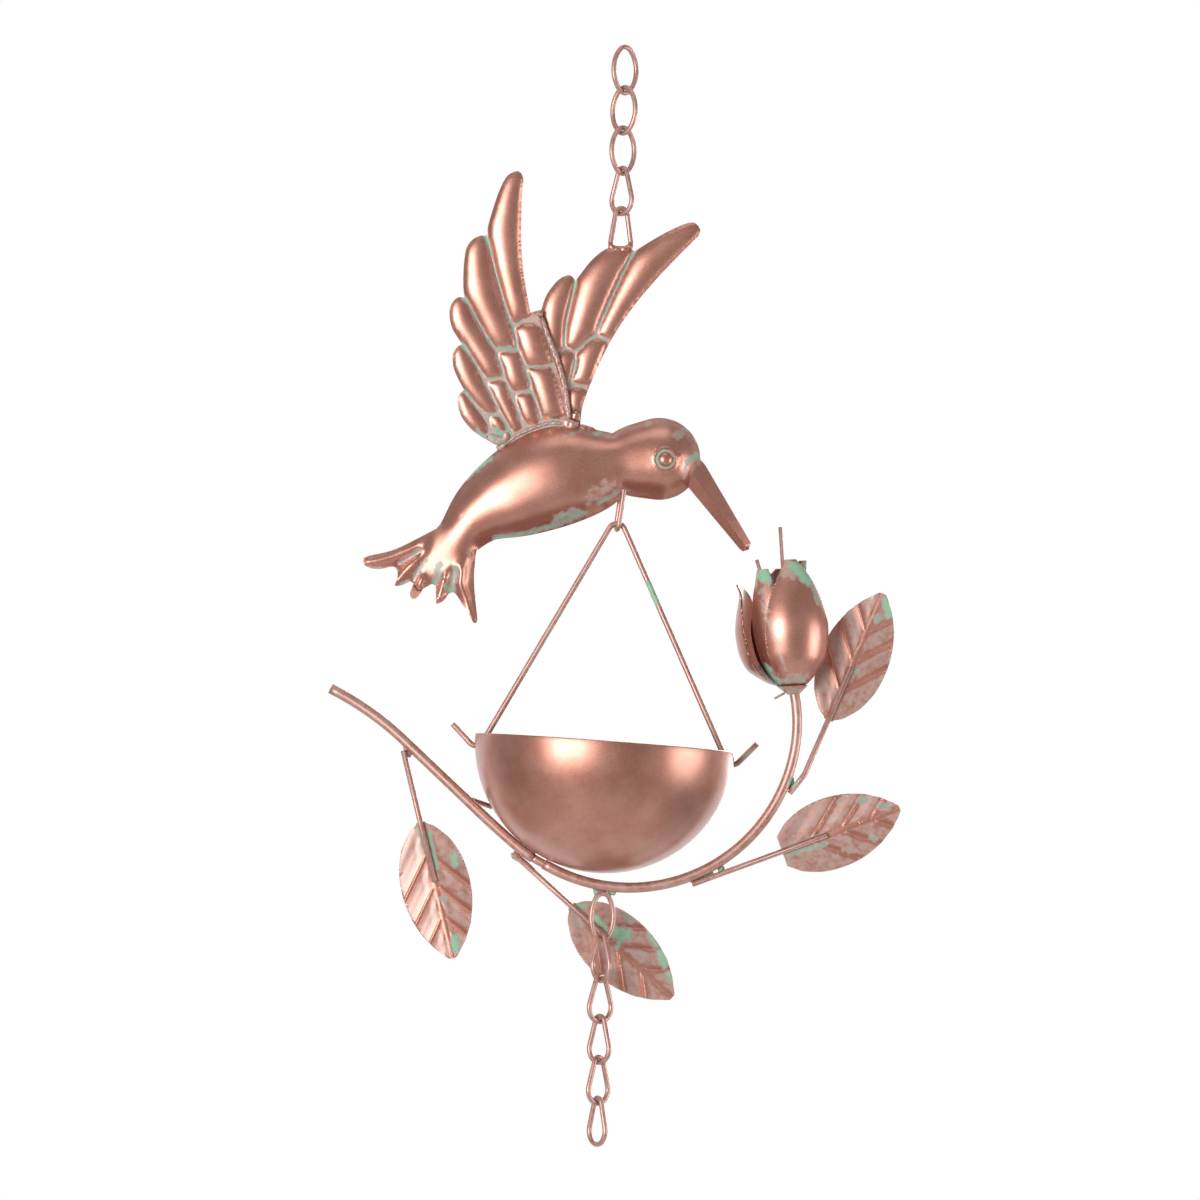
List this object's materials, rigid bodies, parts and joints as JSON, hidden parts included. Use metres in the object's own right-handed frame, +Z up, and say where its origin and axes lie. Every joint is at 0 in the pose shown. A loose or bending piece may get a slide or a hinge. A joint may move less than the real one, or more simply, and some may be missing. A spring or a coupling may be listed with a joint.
{
  "type": "rain chain",
  "caption": "Copper-coloured rain chain unit: a stamped hummingbird on link chain, with a water bowl hung from a wire bail on a leafy branch with a rosebud.",
  "frame": {"origin": "inside of the top bend of the hanging link, where the gutter hook carries the chain", "axes": "+Z up along the chain, +X to the right of the bird's near side, towards its beak, -Y out of the near side"},
  "size_m": [0.2227, 0.101, 0.4277],
  "materials": {
    "wire": "satin copper with pale green patina",
    "bird_sheet": "satin copper with pale green patina",
    "bowl_sheet": "satin copper with pale green patina",
    "leaf_sheet": "satin copper with pale green patina",
    "petal_sheet": "satin copper with pale green patina"
  },
  "bodies": {
    "hanger": {"hanger_link": "wire"},
    "upper_link_1": {"upper_link_1": "wire"},
    "upper_link_2": {"upper_link_2": "wire"},
    "upper_link_3": {"upper_link_3": "wire"},
    "bird": {"wing_link": "wire", "bird_front_half": "bird_sheet", "bird_rear_half": "bird_sheet", "wing_front": "bird_sheet", "wing_rear": "bird_sheet", "breast_eye": "wire"},
    "bail": {"bail": "wire"},
    "bowl": {"binding_wire": "wire", "bowl": "bowl_sheet", "branch_brace": "wire", "branch_joint": "wire", "branch_left": "wire", "branch_link": "wire", "branch_right": "wire", "flower_base": "petal_sheet", "leaf_left_blade": "leaf_sheet", "leaf_left_stem": "wire", "leaf_low_blade": "leaf_sheet", "leaf_low_stem": "wire", "leaf_right_blade": "leaf_sheet", "leaf_right_stem": "wire", "leaf_top_blade": "leaf_sheet", "leaf_top_stem": "wire", "petal_back": "petal_sheet", "petal_front": "petal_sheet", "petal_left": "petal_sheet", "petal_outer": "petal_sheet", "petal_right": "petal_sheet", "stamen_long": "wire", "stamen_short": "wire"},
    "lower_link_1": {"lower_link_1": "wire"},
    "lower_link_2": {"lower_link_2": "wire"},
    "lower_link_3": {"lower_link_3": "wire"},
    "lower_link_4": {"lower_link_4": "wire"},
    "lower_link_5": {"lower_link_5": "wire"}
  },
  "joints": [
    {"name": "upper_swing_1", "type": "hinge", "parent": "hanger", "child": "upper_link_1", "pos_m": [0, 0, -0.0169], "axis": [0.7071, 0.7071, 0], "range_deg": [-30, 30]},
    {"name": "upper_swing_2", "type": "hinge", "parent": "upper_link_1", "child": "upper_link_2", "pos_m": [0, 0, -0.03265], "axis": [0.7071, -0.7071, 0], "range_deg": [-30, 30]},
    {"name": "upper_swing_3", "type": "hinge", "parent": "upper_link_2", "child": "upper_link_3", "pos_m": [0, 0, -0.0484], "axis": [0.7071, 0.7071, 0], "range_deg": [-30, 30]},
    {"name": "bird_swing", "type": "hinge", "parent": "upper_link_3", "child": "bird", "pos_m": [0, 0, -0.06415], "axis": [0.7071, -0.7071, 0], "range_deg": [-25, 25]},
    {"name": "bail_swing", "type": "hinge", "parent": "bird", "child": "bail", "pos_m": [0.0013, 0, -0.18475], "axis": [1, 0, 0], "range_deg": [-20, 20]},
    {"name": "bowl_swing", "type": "hinge", "parent": "bail", "child": "bowl", "pos_m": [-0.00143, 0, -0.27454], "axis": [0.9988, 0, -0.0488], "range_deg": [-25, 25]},
    {"name": "lower_swing_1", "type": "hinge", "parent": "bowl", "child": "lower_link_1", "pos_m": [-0.00062, -0.0019, -0.34594], "axis": [0.848, 0.5299, 0], "range_deg": [-30, 12]},
    {"name": "lower_swing_2", "type": "hinge", "parent": "lower_link_1", "child": "lower_link_2", "pos_m": [-0.00062, -0.0019, -0.36169], "axis": [0.5299, -0.848, 0], "range_deg": [-30, 20]},
    {"name": "lower_swing_3", "type": "hinge", "parent": "lower_link_2", "child": "lower_link_3", "pos_m": [-0.00062, -0.0019, -0.37744], "axis": [0.766, 0.6428, 0], "range_deg": [-30, 30]},
    {"name": "lower_swing_4", "type": "hinge", "parent": "lower_link_3", "child": "lower_link_4", "pos_m": [-0.00062, -0.0019, -0.39319], "axis": [0.7071, -0.7071, 0], "range_deg": [-30, 30]},
    {"name": "lower_swing_5", "type": "hinge", "parent": "lower_link_4", "child": "lower_link_5", "pos_m": [-0.00062, -0.0019, -0.40894], "axis": [0.7071, 0.7071, 0], "range_deg": [-30, 30]}
  ]
}
